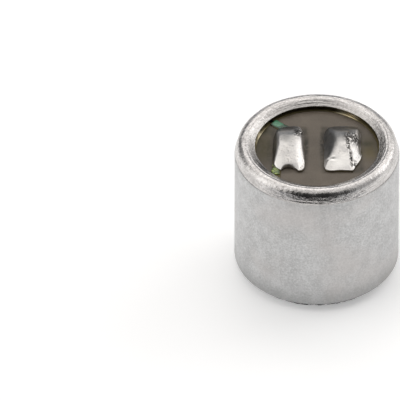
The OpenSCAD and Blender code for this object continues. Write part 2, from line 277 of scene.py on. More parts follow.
def cut(obj, cutters):
    """Cuts other meshes out of an object."""
    for cutter in cutters:
        modifier = obj.modifiers.new("cut", "BOOLEAN")
        modifier.object = cutter
        modifier.solver = "EXACT"
    depsgraph = bpy.context.evaluated_depsgraph_get()
    mesh = bpy.data.meshes.new_from_object(obj.evaluated_get(depsgraph))
    obj.modifiers.clear()
    obj.data = mesh
    for cutter in cutters:
        bpy.data.objects.remove(cutter)


def place(obj, slot, *replaced):
    """A piece of the capsule: rides on its one body and stands for the named CAD nodes."""
    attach(obj, "root")
    if replaced:
        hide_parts(*replaced)
    return obj


# Material helpers

class Graph:
    """Adds nodes to a node tree. Apart from add, each call that makes a node gives its output."""

    def __init__(self, tree):
        self.tree = tree

    def feed(self, socket, value):
        """Joins a socket to a node's output, or sets it to a plain value."""
        if isinstance(value, bpy.types.NodeSocket):
            self.tree.links.new(value, socket)
        elif socket.type == "RGBA":
            socket.default_value = (*value, 1)
        else:
            socket.default_value = value

    def add(self, kind, *values):
        """New node with its first sockets fed."""
        node = self.tree.nodes.new("ShaderNode" + kind)
        for socket, value in zip(node.inputs, values):
            self.feed(socket, value)
        return node

    def vector(self, operation, *values):
        node = self.add("VectorMath", *values)
        node.operation = operation
        return node.outputs["Value" if operation in ("LENGTH", "DOT_PRODUCT") else "Vector"]

    def math(self, operation, *values):
        node = self.add("Math", *values)
        node.operation = operation
        return node.outputs["Value"]

    def weighted(self, *parts):
        """Sum of values, each times its weight."""
        total = 0.0
        for value, weight in parts:
            total = self.math("ADD", total, self.math("MULTIPLY", value, weight))
        return total

    def axis(self, vector, letter):
        return self.add("SeparateXYZ", vector).outputs[letter]

    def remap(self, value, low, high, to_low=0.0, to_high=1.0, soft=False):
        node = self.add("MapRange", value, low, high, to_low, to_high)
        node.interpolation_type = "SMOOTHSTEP" if soft else "LINEAR"
        return node.outputs["Result"]

    def blend(self, share, a, b):
        """Colour between two others. The node's colour sockets come after those for its other types."""
        node = self.tree.nodes.new("ShaderNodeMix")
        node.data_type = "RGBA"
        for index, value in ((0, share), (6, a), (7, b)):
            self.feed(node.inputs[index], value)
        return node.outputs[2]


class Finish(Graph):
    """A procedural material whose patterns are measured in millimetres on the object."""

    def __init__(self, name, **settings):
        self.material = bpy.data.materials.new(name)
        self.material.use_nodes = True
        super().__init__(self.material.node_tree)
        for socket, value in settings.items():
            self.set(socket.replace("_", " "), value)
        coords = self.add("TexCoord").outputs["Object"]
        self.mm = self.vector("MULTIPLY", coords, (1 / MM, 1 / MM, 1 / MM))

    def set(self, socket, value):
        self.feed(self.tree.nodes["Principled BSDF"].inputs[socket], value)

    def flat(self):
        return self.vector("MULTIPLY", self.mm, (1, 1, 0))

    def radius(self):
        return self.vector("LENGTH", self.flat())

    def around(self, round_scale, height_scale):
        """Coordinates round the can's axis: place round it, then height and radius together."""
        turn = self.vector("SCALE", self.vector("NORMALIZE", self.flat()))
        turn.node.inputs["Scale"].default_value = CAN_R * round_scale
        rise = self.math("ADD", self.axis(self.mm, "Z"), self.radius())
        up = self.add("CombineXYZ", 0, 0, self.math("MULTIPLY", rise, height_scale))
        return self.vector("ADD", turn, up.outputs["Vector"])

    def noise(self, scale, detail=3.0, roughness=0.55, coords=None, warp=0.0):
        node = self.add("TexNoise", coords or self.mm)
        settings = {"Scale": scale, "Detail": detail, "Roughness": roughness, "Distortion": warp}
        for socket, value in settings.items():
            self.feed(node.inputs[socket], value)
        return node.outputs["Fac"]

    def bump(self, height, depth, under=None):
        node = self.tree.nodes.new("ShaderNodeBump")
        node.inputs["Distance"].default_value = depth * MM
        self.feed(node.inputs["Height"], height)
        if under is not None:
            self.feed(node.inputs["Normal"], under)
        return node.outputs["Normal"]

    def spot(self, x, y, radius_x, radius_y):
        """Share from 1 in the middle of an oval on the board to 0 at its edge."""
        offset = self.vector("SUBTRACT", self.mm, (x, y, 0))
        flat = self.vector("MULTIPLY", offset, (1 / radius_x, 1 / radius_y, 0))
        return self.remap(self.vector("LENGTH", flat), 0.0, 1.0, 1.0, 0.0, soft=True)

    def spots(self, *ovals):
        """The largest of the shares that several ovals give."""
        share = self.spot(*ovals[0])
        for oval in ovals[1:]:
            share = self.math("MAXIMUM", share, self.spot(*oval))
        return share

    def skirt(self, node, reach):
        """Share from 1 at the edge of a terminal to 0 at the given distance from it, at any height."""
        any_height = 99
        low, high = box_mm(node)
        middle, half_size = (low + high) / 2, (high - low) / 2
        away = self.vector("ABSOLUTE", self.vector("SUBTRACT", self.mm, middle))
        past_edge = self.vector("SUBTRACT", away, (half_size.x, half_size.y, any_height))
        outside = self.vector("MAXIMUM", past_edge, (0, 0, 0))
        return self.remap(self.vector("LENGTH", outside), 0.0, reach, 1.0, 0.0, soft=True)


# Materials

def aluminium():
    """Drawn aluminium: a satin, mottled wall with painted shade darkening its foot, and smeared metal on the
    rolled rim with painted shade on the lip's inner slope.
    """
    f = Finish("drawn_aluminium", Metallic=1.0)
    bands = f.noise(1.0, 3, 0.6, f.around(7.0, 0.25))
    grain = f.noise(11.0, 3, 0.65)
    smears = f.noise(1.0, 4, 0.65, f.around(1.6, 9.0))
    lines = f.noise(1.0, 2, 0.5, f.around(0.5, 8.0))
    rim = f.remap(f.axis(f.mm, "Z"), LEAN_Z - 0.01, LEAN_Z + 0.04, soft=True)

    mottle = f.weighted((f.noise(15.0, 3, 0.6), 0.6), (f.noise(2.2, 3), 0.3), (bands, 0.1))
    wall = f.blend(f.remap(mottle, 0.39, 0.61), (0.44, 0.44, 0.439), (0.63, 0.632, 0.632))
    warm = f.remap(f.noise(0.45, 2, 0.5), 0.5, 0.68, 0.0, 0.5)
    wall = f.blend(warm, wall, (0.56, 0.53, 0.515))
    # Painted shade: the wall darkens towards its foot
    foot_shade = f.remap(f.axis(f.mm, "Z"), CAN_Z + 0.1, CAN_Z + 1.0, 0.45, 0.0, soft=True)
    wall = f.blend(foot_shade, wall, (0.27, 0.27, 0.268))

    worn = f.remap(f.weighted((smears, 0.55), (grain, 0.45)), 0.36, 0.64)
    rolled = f.blend(worn, (0.42, 0.4, 0.387), (0.74, 0.722, 0.707))
    # Painted shade: the lip's inner slope darkens towards its edge
    lip_edge_shade = f.remap(f.radius(), LIP_R + 0.06, LIP_R + 0.3, 0.4, 0.0, soft=True)
    rolled = f.blend(lip_edge_shade, rolled, (0.3, 0.285, 0.27))
    f.set("Base Color", f.blend(rim, wall, rolled))

    wall_rough = f.remap(bands, 0.3, 0.7, 0.36, 0.46)
    rim_rough = f.remap(smears, 0.3, 0.7, 0.16, 0.32)
    f.set("Roughness", f.weighted((wall_rough, f.math("SUBTRACT", 1.0, rim)), (rim_rough, rim)))
    marks = f.weighted((smears, 1.0), (lines, 1.2), (f.noise(8.0, 4, 0.65), 0.8))
    f.set("Normal", f.bump(f.math("MULTIPLY", marks, rim), 0.02, under=f.bump(grain, 0.003)))
    return f.material


def board_laminate():
    """Brown lacquered laminate with flux and painted shade round the terminals, painted shadow lines beside
    them, stains and pools, one pool being painted shade in the corner by the rim at the left.
    """
    f = Finish("board_laminate", Specular_IOR_Level=0.3, Coat_Weight=0.1, Coat_Roughness=0.2)
    cloud = f.noise(1.4, 4, 0.6)
    speck = f.noise(22.0, 2, 0.5)
    tone = f.remap(f.weighted((cloud, 0.65), (speck, 0.35)), 0.33, 0.67)
    base = f.blend(tone, (0.1, 0.081, 0.06), (0.166, 0.138, 0.107))
    for node in ("earth_solder", "output_solder"):
        # Flux and painted shade round the foot of each terminal
        flux_and_shade = f.math("MULTIPLY", f.skirt(node, 0.16), f.remap(f.noise(3.0, 3, 0.5), 0.3, 0.7, 0.1, 0.8))
        base = f.blend(flux_and_shade, base, (0.03, 0.024, 0.012))

    # Marks: how much of the board shows each one's colour, and the ovals in which it lies
    earth_low, earth_high = box_mm("earth_solder")
    output_low = box_mm("output_solder")[0]
    # Painted shadow lines along the sides of the terminals
    lines = (f.remap(f.noise(6.0, 3), 0.35, 0.55, 0.3, 1.0), (0.022, 0.017, 0.008),
             ((earth_high.x + 0.06, 0.25, 0.16, 1.4), (output_low.x - 0.05, 0.25, 0.16, 1.4),
              (earth_low.x - 0.13, 0.0, 0.16, 0.9)))
    stains = (f.remap(f.noise(2.6, 4, 0.6, warp=0.6), 0.3, 0.6, 0.7, 1.0), (0.05, 0.038, 0.006),
              ((1.95, 0.15, 0.6, 1.0), (-2.0, 0.2, 0.7, 1.7)))
    olive = (f.remap(cloud, 0.4, 0.6, 0.15, 0.5), (0.15, 0.115, 0.045), ((1.9, -0.3, 0.5, 0.8),))
    # A dark pool at the right, and painted shade in the corner by the rim at the left
    pools_and_corner_shade = (f.remap(speck, 0.3, 0.6, 0.4, 0.9), (0.03, 0.026, 0.006),
             ((1.8, 0.35, 0.35, 0.25), (-1.85, 1.05, 0.4, 0.34)))
    for cover, colour, ovals in (lines, stains, olive, pools_and_corner_shade):
        base = f.blend(f.math("MULTIPLY", f.spots(*ovals), cover), base, colour)
    f.set("Base Color", base)
    f.set("Roughness", f.remap(cloud, 0.3, 0.7, 0.38, 0.52))
    f.set("Normal", f.bump(speck, 0.004))
    return f.material


def plated_copper():
    """Thin gold plate on copper under dark flux, bare and bright in a few places."""
    f = Finish("plated_copper", Metallic=1.0)
    cloud = f.noise(5.0, 4, 0.6)
    gold = f.blend(f.remap(cloud, 0.3, 0.7), (0.82, 0.68, 0.4), (0.96, 0.9, 0.7))
    bare = f.spots((-2.05, 0.75, 0.4, 0.7), (1.2, 1.95, 0.8, 0.45))
    bare = f.math("MULTIPLY", bare, f.remap(f.noise(3.0, 3, 0.6), 0.36, 0.5))
    f.set("Base Color", f.blend(bare, (0.12, 0.1, 0.05), gold))
    f.set("Roughness", f.remap(cloud, 0.3, 0.7, 0.42, 0.6))
    f.set("Normal", f.bump(f.noise(30.0, 2), 0.003))
    return f.material


def green_mask():
    """Glossy green lacquer over the earth tracks, darkened by painted shade at the outer end of the upper
    one, by the lip, and yellower and patchy where it covers the terminal's leg."""
    f = Finish("green_mask", Coat_Weight=0.35, Coat_Roughness=0.1)
    cloud = f.noise(4.0, 3, 0.6)
    green = f.blend(f.remap(cloud, 0.35, 0.65), (0.02, 0.14, 0.065), (0.07, 0.29, 0.15))
    # Painted shade at the outer end of the upper track, by the lip
    outer_end_shade = f.remap(f.spot(-1.4, 1.45, 0.32, 0.28), 0.15, 0.5)
    green = f.blend(outer_end_shade, (0.008, 0.05, 0.02), green)
    patches = f.remap(f.noise(6.0, 4, 0.7, warp=0.5), 0.48, 0.62)
    yellow = f.blend(patches, (0.02, 0.06, 0.005), (0.38, 0.47, 0.1))
    f.set("Base Color", f.blend(f.remap(f.axis(f.mm, "Y"), -0.5, 0.5), yellow, green))
    f.set("Roughness", f.remap(cloud, 0.3, 0.7, 0.2, 0.35))
    f.set("Normal", f.bump(f.noise(9.0, 2), 0.006))
    return f.material


def solder():
    """Satin solder with a pale painted highlight at the front of both terminals, painted shade on their backs
    and left flanks that thins out down their faces, painted shade round their crests, and dark flux, partly
    painted shade, in the pits, the groove and the crumpled corner."""
    f = Finish("solder", Metallic=1.0)
    left, right = [(low + high).x / 2 for low, high in (box_mm("earth_solder"), box_mm("output_solder"))]
    cloud = f.noise(3.0, 4, 0.6, warp=0.3)
    base = f.blend(f.remap(cloud, 0.35, 0.65), (0.54, 0.525, 0.51), (0.73, 0.705, 0.675))
    frost = f.remap(f.noise(9.0, 4, 0.7), 0.52, 0.66, 0.0, 0.6)
    base = f.blend(frost, base, (0.44, 0.43, 0.43))
    specks = f.remap(f.noise(13.0, 2, 0.5), 0.6, 0.7, 0.0, 0.55)
    base = f.blend(specks, base, (0.25, 0.24, 0.23))

    # Painted shade on the backs and left flanks, thinning out down the faces
    back_and_flank_shade = f.spots((left - 0.58, 0.2, 0.3, 1.6), (left - 0.1, 1.25, 0.8, 0.7), (left - 0.5, 0.95, 0.4, 0.55),
                   (right - 0.6, 0.2, 0.55, 1.6), (right, 1.25, 1.0, 0.9))
    back_and_flank_shade = f.math("MULTIPLY", f.remap(back_and_flank_shade, 0.0, 0.45), f.remap(cloud, 0.3, 0.6, 0.75, 1.0))
    base = f.blend(back_and_flank_shade, base, (0.17, 0.17, 0.17))
    # Painted shade round the crests, dimming their reflection
    crest_shade = f.spots((left - 0.1, 0.14, 0.5, 0.64), (right - 0.12, 0.14, 0.5, 0.64))
    crest_shade = f.math("MULTIPLY", crest_shade, f.remap(cloud, 0.3, 0.6, 0.5, 0.8))
    base = f.blend(crest_shade, base, (0.22, 0.22, 0.213))
    # Painted highlight: paler solder at the front bottom of both terminals
    front_highlight = f.spots((left - 0.38, -0.95, 0.3, 0.45), (right - 0.1, -0.95, 0.8, 0.5))
    base = f.blend(front_highlight, base, (0.84, 0.82, 0.79))

    # Dark flux flecks, partly painted shade, in the pits, the groove and the crumpled corner
    flux_and_shade = f.spots((left + 0.36, 0.65, 0.3, 0.55), (right + 0.34, 0.26, 0.5, 0.62),
                   (right + 0.2, -0.15, 0.11, 0.5), (right + 0.3, -0.75, 0.09, 0.45),
                   (right + 0.45, -0.95, 0.2, 0.25))
    flecks = f.remap(f.noise(12.0, 3, 0.6, warp=0.4), 0.42, 0.5)
    flecks = f.math("MULTIPLY", f.remap(flux_and_shade, 0.1, 0.6), flecks)
    f.set("Base Color", f.blend(flecks, base, (0.07, 0.066, 0.062)))
    f.set("Roughness", f.remap(cloud, 0.3, 0.7, 0.28, 0.42))
    f.set("Normal", f.bump(f.noise(7.0, 4, 0.6), 0.01))
    return f.material


def felt():
    """Black fibre, a little paler along its strands."""
    f = Finish("black_felt", Sheen_Weight=0.12, Sheen_Roughness=0.5)
    strands = f.noise(9.0, 5, 0.7, warp=1.5)
    f.set("Base Color", f.blend(f.remap(strands, 0.4, 0.75), (0.006, 0.006, 0.006), (0.035, 0.034, 0.034)))
    f.set("Roughness", f.remap(strands, 0.3, 0.7, 0.75, 0.95))
    f.set("Normal", f.bump(strands, 0.03))
    return f.material


def plain(name, dark, pale, rough, metallic=0.0, grain=12.0, depth=0.003):
    """Finish of an inner piece: two near tones, with grain in its gloss and surface."""
    f = Finish(name, Metallic=metallic)
    cloud = f.noise(grain, 4, 0.6)
    share = f.remap(cloud, 0.3, 0.7)
    f.set("Base Color", f.blend(share, dark, pale))
    f.set("Roughness", f.remap(cloud, 0.3, 0.7, rough[0], rough[1]))
    f.set("Normal", f.bump(cloud, depth))
    return f.material


finishes = {
    "aluminium_can": aluminium(),
    "black_felt": felt(),
    "brass": plain("brass", (0.7, 0.52, 0.22), (0.83, 0.65, 0.32), (0.22, 0.36), metallic=1.0),
    "metallised_film": plain("metallised_film", (0.68, 0.7, 0.74), (0.76, 0.78, 0.82), (0.12, 0.2),
                             metallic=0.8, grain=3.0),
    "clear_polyester": plain("polyester", (0.82, 0.82, 0.78), (0.88, 0.88, 0.84), (0.2, 0.3)),
    "fluoropolymer_film": plain("fluoropolymer", (0.84, 0.84, 0.84), (0.9, 0.9, 0.9), (0.25, 0.35)),
    "ivory_plastic": plain("ivory_plastic", (0.78, 0.75, 0.66), (0.85, 0.82, 0.73), (0.4, 0.55)),
    "board_laminate": board_laminate(),
    "plated_copper": plated_copper(),
    "green_mask": green_mask(),
    "black_epoxy": plain("black_epoxy", (0.02, 0.02, 0.022), (0.04, 0.04, 0.042), (0.5, 0.65)),
    "tinned_lead": plain("tin_plate", (0.68, 0.68, 0.67), (0.8, 0.8, 0.79), (0.3, 0.45), metallic=1.0),
    "brown_ceramic": plain("fired_ceramic", (0.36, 0.25, 0.16), (0.46, 0.33, 0.22), (0.55, 0.7)),
    "solder": solder(),
}
for part in frame["record"]["subparts"]:
    slots = nodes[part["node"]].data.materials
    slots.clear()
    slots.append(finishes[part["material_slot"]])


# Case

def case_outline():
    """The sheet's section, from the middle of the front wall round the lip and back."""
    roll = (ROLL_AT_R, ROLL_Z)
    shoulder = (CAN_R - SHOULDER_R, SHOULDER_Z)
    outer = arc((CAN_R - CORNER_R, CAN_Z + CORNER_R), CORNER_R, -90, 0, 10)
    outer += [(CAN_R, z) for z in (*np.linspace(CAN_Z + CORNER_R, LEAN_Z, 12)[1:-1], LEAN_Z - LEAN_EDGE)]
    turn_r, turn_z = arc(roll, RIDGE_R, SHOULDER_TURN, SHOULDER_TURN, 1)[0]
    for share in np.linspace(0, 1, 40)[:-1]:
        z = LEAN_Z + (turn_z - LEAN_Z) * share
        outer.append((CAN_R + (turn_r - CAN_R) * share - CREASE_DEPTH * hump(z, CREASE_Z, CREASE_W), z))
    for r, z in arc(roll, RIDGE_R, SHOULDER_TURN, ROLL_END, 60):
        depth = GROOVE_DEPTH * hump(r, GROOVE_R, GROOVE_W) if r < ROLL_AT_R else 0
        sunk = 1 - depth / RIDGE_R
        outer.append((roll[0] + (r - roll[0]) * sunk, roll[1] + (z - roll[1]) * sunk))
    end = math.radians(ROLL_END)
    out_r, out_z = outer[-1]
    lip_top = (LIP_R, out_z - (out_r - LIP_R) * math.tan(math.radians(LIP_SLOPE)))
    lip_foot = (lip_top[0] - SHEET_T * math.cos(end), lip_top[1] - SHEET_T * math.sin(end))
    for share in (0.25, 0.5, 0.75):
        outer.append((out_r + (lip_top[0] - out_r) * share, out_z + (lip_top[1] - out_z) * share))
    inner = arc(roll, RIDGE_R - SHEET_T, ROLL_END, SHOULDER_TURN, 10)
    inner += arc(shoulder, SHOULDER_R - SHEET_T, SHOULDER_TURN, 0, 6)
    inner += arc((CAN_R - SHEET_T - CORNER_IN_R, CAN_Z + SHEET_T + CORNER_IN_R), CORNER_IN_R, 0, -90, 3)
    return [(0, CAN_Z)] + outer + [lip_top, lip_foot] + inner + [(0, CAN_Z + SHEET_T)]


def uneven_rim(obj):
    """Moves the rim's points in and out a little, as rolling leaves it."""
    for vert in obj.data.vertices:
        x, y, z = vert.co / MM
        r = math.hypot(x, y)
        share = min(max((z - SHOULDER_Z) / RIDGE_R, 0), 1)
        if share > 0 and r > 0:
            swing = noise.noise((x * 0.9, y * 0.9, 2.0)) + 0.5 * noise.noise((x * 2.3, y * 2.3, r * 3))
            scale = 1 + RIM_WOBBLE * share * swing / r
            vert.co = Vector((x * scale, y * scale, z + RIM_WOBBLE * 0.5 * share * min(swing, 0))) * MM


case = lathe("can", case_outline(), CAN_STEPS, finishes["aluminium_can"])
uneven_rim(case)
holes = []
for i in range(SOUND_HOLES):
    angle = 2 * math.pi * i / SOUND_HOLES
    hole = lathe("hole", [(0, CAN_Z - SHEET_T), (SOUND_HOLE_R, CAN_Z - SHEET_T),
                          (SOUND_HOLE_R, CAN_Z + 2 * SHEET_T), (0, CAN_Z + 2 * SHEET_T)], HOLE_STEPS,
                 finishes["aluminium_can"])
    hole.location = (SOUND_CIRCLE_R * math.cos(angle) * MM, SOUND_CIRCLE_R * math.sin(angle) * MM, 0)
    smooth(hole)
    holes.append(hole)
smooth(case)
cut(case, holes)
smooth(case)
place(case, "aluminium_can", "case")


# Outlines of the terminals

def terminal(node):
    """Middle and size across of a terminal, from its CAD mound."""
    low, high = box_mm(node)
    return Vector(((low.x + high.x) / 2, 0)), high.x - low.x


PAD_L = 2 * box_mm("output_land")[1].y
EARTH_AT, EARTH_W = terminal("earth_solder")
OUTPUT_AT, OUTPUT_W = terminal("output_solder")
LEG_W = EARTH_W / 2 + NOTCH_X - NOTCH_W / 2


def square_point(i, n):
    """Point on the edge of a square from -1 to 1, counted from its front left corner."""
    side = 4 * i // n
    run = 8 * i / n - 2 * side - 1
    return ((run, -1), (1, run), (-run, 1), (-1, -run))[side]


def soft_corner(q, w, length, left_back=BACK_SQUARENESS):
    """The same point on a rectangle with softer corners, squarer at the front than at the back."""
    power = FRONT_SQUARENESS if q[1] < 0 else left_back if q[0] < 0 else BACK_SQUARENESS
    soft = (abs(q[0]) ** power + abs(q[1]) ** power) ** (-1 / power)
    return Vector((q[0] * w, q[1] * length)) * soft / 2


def inside_rim(p):
    """The same place pulled in until it keeps clear of the rim."""
    return p * min(1, TERMINAL_MAX_R / p.length)


def notch_at(x, depth, skew):
    """Depth, at one place, of the arched notch in the earth terminal's front edge.
    A skewed notch is shallower to the right."""
    t = 2 * (x - NOTCH_X) / NOTCH_W
    return depth * math.sqrt(max(1 - t ** 2, 0)) * (1 - skew * max(t, 0))


def earth_edge(n, notch, leg=0.0, skew=0.0):
    """Edge of the earth terminal. Its leg left of the notch ends on a slant, and is short by the
    given length at its outer side."""
    edge = []
    for i in range(n):
        q = square_point(i, n)
        p = soft_corner(q, EARTH_W, PAD_L, TRACK_CORNER_SQUARENESS)
        y = p.y + (notch_at(p.x, notch, skew) if q[1] == -1 else 0)
        if p.x < NOTCH_X and p.y < 0:
            short = leg * min(max((NOTCH_X - NOTCH_W / 2 - p.x) / LEG_W, 0), 1)
            y = max(y, p.y * (1 - 2 * short / PAD_L))
        edge.append(inside_rim(EARTH_AT + Vector((p.x, y))))
    return edge


def output_edge(n):
    """Edge of the output terminal, with one front corner cut off."""
    facing = Vector((math.cos(math.radians(BEVEL_ANGLE)), math.sin(math.radians(BEVEL_ANGLE))))
    edge = []
    for i in range(n):
        p = soft_corner(square_point(i, n), OUTPUT_W, PAD_L)
        reach = p.dot(facing)
        edge.append(inside_rim(OUTPUT_AT + p * min(1, BEVEL_REACH / max(reach, TINY))))
    return edge


# Board, copper and mask

EDGE_BEVEL = 0.02
COPPER_BEVEL = 0.015
EDGE_STEPS = 320
TRACK_SQUARENESS = 12
MASK_SQUARENESS = 4
MASK_DOME = 0.01

board = lathe("board", [(0, BOARD_Z), (BOARD_R - EDGE_BEVEL, BOARD_Z), (BOARD_R, BOARD_Z + EDGE_BEVEL),
                        (BOARD_R, BOARD_TOP - EDGE_BEVEL), (BOARD_R - EDGE_BEVEL, BOARD_TOP), (0, BOARD_TOP)],
              DISC_STEPS, finishes["board_laminate"])
smooth(board)
place(board, "board_laminate", "circuit_board")

track_ends = []
for begin, direction in zip((EARTH_AT + Vector((0, (PAD_L - TRACK_W) / 2)),
                             EARTH_AT - Vector(((EARTH_W - LEG_W) / 2, PAD_L / 2 - TRACK_W))), TRACK_ANGLES):
    meets = Vector((math.cos(math.radians(direction)), math.sin(math.radians(direction)))) * LIP_R
    track_ends.append((begin, meets + (meets - begin).normalized() * TRACK_W / 2))

ring = lathe_mesh([(EARTH_IN_R, BOARD_TOP), (RING_R, BOARD_TOP), (RING_R, LAND_TOP),
                   (EARTH_IN_R + COPPER_BEVEL, LAND_TOP), (EARTH_IN_R, LAND_TOP - COPPER_BEVEL)], RING_STEPS)
tracks = [ribbon_mesh(*ends, TRACK_W, BOARD_TOP, LAND_TOP, TRACK_SQUARENESS) for ends in track_ends]
earth_plate = prism_mesh(earth_edge(EDGE_STEPS, NOTCH_DEPTH), BOARD_TOP, LAND_TOP, COPPER_BEVEL)
earth_copper = add_mesh("earth_copper", *joined(ring, *tracks, earth_plate), finishes["plated_copper"])
smooth(earth_copper)
place(earth_copper, "plated_copper", "earth_land")

output_plate = prism_mesh(output_edge(EDGE_STEPS), BOARD_TOP, LAND_TOP, COPPER_BEVEL)
output_copper = add_mesh("output_copper", *output_plate, finishes["plated_copper"])
smooth(output_copper)
place(output_copper, "plated_copper", "output_land")

masked = []
for (begin, end), length, ragged in zip(track_ends, MASK_LENGTHS, MASK_RAGGED):
    stop = begin + (end - begin).normalized() * length
    masked.append(ribbon_mesh(begin, stop, TRACK_W, LAND_TOP, MASK_TOP + MASK_DOME, MASK_SQUARENESS, ragged))
mask = add_mesh("mask", *joined(*masked), finishes["green_mask"])
smooth(mask)
place(mask, "green_mask", "track_mask")


# Solder terminals

# How the faces of a mound meet each other, its edge and its crest
FACE_BLEND = 4
CREST_SHARE = 1.6
CREST_SOFTNESS = 0.03
LEAST_REACH = 1e-3
EDGE_POWER = 14
EDGE_WANDER = 0.03
NOTCH_FADE = 5
MOUND_RINGS = 72
RING_CROWDING = 1.3

# How deep its marks are, and how fast they fade in from its edge
RELIEF_FADE = 6
FLOW_DEPTH = 0.012
PIT_DEPTH = 0.045
SPECK_DEPTH = 0.012
MOUND_GROOVE_W = 0.035
MOUND_GROOVE_DEPTH = 0.05
MOUND_CREASE_DEPTH = 0.012
CRUMPLE_DEPTHS = (0.05, 0.02)

# Faces of the mounds, each with its direction in degrees, distance from the middle and slope in degrees
earth_faces = [(-90, PAD_L / 2, 20), (90, PAD_L / 2, 23), (180, EARTH_W / 2, 63), (0, EARTH_W / 2, 72),
               (135, 1.1, 43), (45, 1.1, 43), (-21, 0.8, 32)]
output_faces = [(-90, PAD_L / 2, 20), (90, PAD_L / 2, 23), (180, OUTPUT_W / 2, 43), (0, OUTPUT_W / 2, 54),
                (BEVEL_ANGLE, BEVEL_REACH, 39)]


def earth_relief(x, y):
    """Unevenness of the earth mound: pits near its back right corner and specks along its face."""
    pits = step(x, 0.1, 0.3) * step(y, 0.1, 0.4)
    specks = hump(x, 0.02, 0.06) * hump(y, -0.35, 0.25)
    flow = FLOW_DEPTH * noise.noise((x * 3.5, y * 2.5, 8.6))
    pitted = PIT_DEPTH * pits * noise.noise((x * 10, y * 8, 3.1))
    return flow + pitted + SPECK_DEPTH * specks * noise.noise((x * 12, y * 9, 5.2))


def output_relief(x, y):
    """Unevenness of the output mound: a groove beside its right facet, a crease and a crumpled corner."""
    groove_x = 0.11 + 0.22 * step(-y, -0.5, 1.0)
    groove = -MOUND_GROOVE_DEPTH * hump(x, groove_x, MOUND_GROOVE_W)
    groove *= step(-y, -0.3, 0.05) * step(y, -1.2, -1.05)
    groove *= 1 + 0.9 * noise.noise((x * 14, y * 12, 9.4))
    left_half = step(-x, 0.15, 0.35)
    crease = MOUND_CREASE_DEPTH * left_half * (hump(y, -0.72, 0.04) - hump(y, -0.8, 0.04))
    crumple = CRUMPLE_DEPTHS[0] * noise.noise((x * 9, y * 7, 7.7))
    crumple += CRUMPLE_DEPTHS[1] * noise.noise((x * 20, y * 16, 2.3))
    flow = FLOW_DEPTH * noise.noise((x * 3.5, y * 2.5, 1.9))
    return flow + groove + crease + crumple * step(x, 0.1, 0.25) * hump(y, 0.18, 0.4)


def under(rise, top):
    """The same rise, flattened softly where it nears the top."""
    start = top - CREST_SOFTNESS
    return rise if rise < start else top - CREST_SOFTNESS * math.exp((start - rise) / CREST_SOFTNESS)


def mound(name, node, at, edge, full, faces, relief):
    """Solder mound: faces that lean in from the edge of the copper and blend at the crest.
    A face is the direction it faces, its distance from the middle and its slope. The edge has the
    notch and the short leg, and the full edge, which the upper rings follow, has neither."""
    n = len(edge)

    def blended(x, y):
        total = (CREST_SHARE * SOLDER_H) ** -FACE_BLEND
        for facing, reach, slope in faces:
            a = math.radians(facing)
            rise = max(reach - x * math.cos(a) - y * math.sin(a), LEAST_REACH) * math.tan(math.radians(slope))
            total += rise ** -FACE_BLEND
        return total ** (-1 / FACE_BLEND)

    top = SOLDER_H - SOLDER_EDGE
    scale_up = top / blended(0, 0)
    verts = [(p.x, p.y, LAND_TOP) for p in edge]
    for k in range(MOUND_RINGS):
        share = 1 - (k / MOUND_RINGS) ** RING_CROWDING
        for whole, cut_edge in zip(full, edge):
            q = share * (whole - at) + share ** NOTCH_FADE * (cut_edge - whole)
            rise = scale_up * blended(q.x, q.y) * math.sqrt(1 - share ** EDGE_POWER)
            rise += relief(q.x, q.y) * min(1, RELIEF_FADE * (1 - share))
            verts.append((at.x + q.x, at.y + q.y, LAND_TOP + SOLDER_EDGE + under(max(rise, 0), top)))
    verts.append((at.x, at.y, LAND_TOP + SOLDER_EDGE + under(top + relief(0, 0), top)))
    crest = len(verts) - 1
    mesh_faces = [list(range(n))[::-1]]
    for k in range(MOUND_RINGS):
        for i in range(n):
            a, b = k * n + i, k * n + (i + 1) % n
            mesh_faces.append((a, b, b + n, a + n))
    last = MOUND_RINGS * n
    mesh_faces += [(last + i, last + (i + 1) % n, crest) for i in range(n)]
    obj = add_mesh(name, verts, mesh_faces, finishes["solder"])
    smooth(obj, sharp_angle=75)
    return place(obj, "solder", node)


def uneven(edge, at):
    """The same edge drawn in here and there, as solder runs on copper."""
    drawn_in = [max(noise.noise((p.x * 5, p.y * 5, 4.4)) + 0.2, 0) for p in edge]
    return [at + (p - at) * (1 - EDGE_WANDER * share) for p, share in zip(edge, drawn_in)]


earth_run = uneven(earth_edge(EDGE_STEPS, SOLDER_NOTCH_DEPTH, LEG_MASK, NOTCH_SKEW), EARTH_AT)
earth_full = uneven(earth_edge(EDGE_STEPS, 0), EARTH_AT)
output_run = uneven(output_edge(EDGE_STEPS), OUTPUT_AT)
mound("earth_mound", "earth_solder", EARTH_AT, earth_run, earth_full, earth_faces, earth_relief)
mound("output_mound", "output_solder", OUTPUT_AT, output_run, output_run, output_faces, output_relief)


# Felt: a soft-edged disc with fibres lying in its outer face and standing out round its rim

FIBRES = 1800
RIM_FIBRE_EVERY = 4
FIBRE_R = 0.009
FIBRE_R_SHARES = (0.6, 1.0)
FIBRE_STEPS = 5
FIBRE_LENGTHS = (0.3, 0.9)
FIBRE_BEND = 2.0
FIBRE_SLOPE = 0.03
FACE_LAYER = (0.012, 0.035)
FACE_SHARE = 0.98
RIM_LAYER = (0.03, FELT_T - 0.02)
RIM_FIBRE_R = FELT_R - 0.03
FLOOR_GAP = 0.001
FELT_RECESS = 0.03
FELT_INSET = 0.02
FELT_ROUND = 0.05


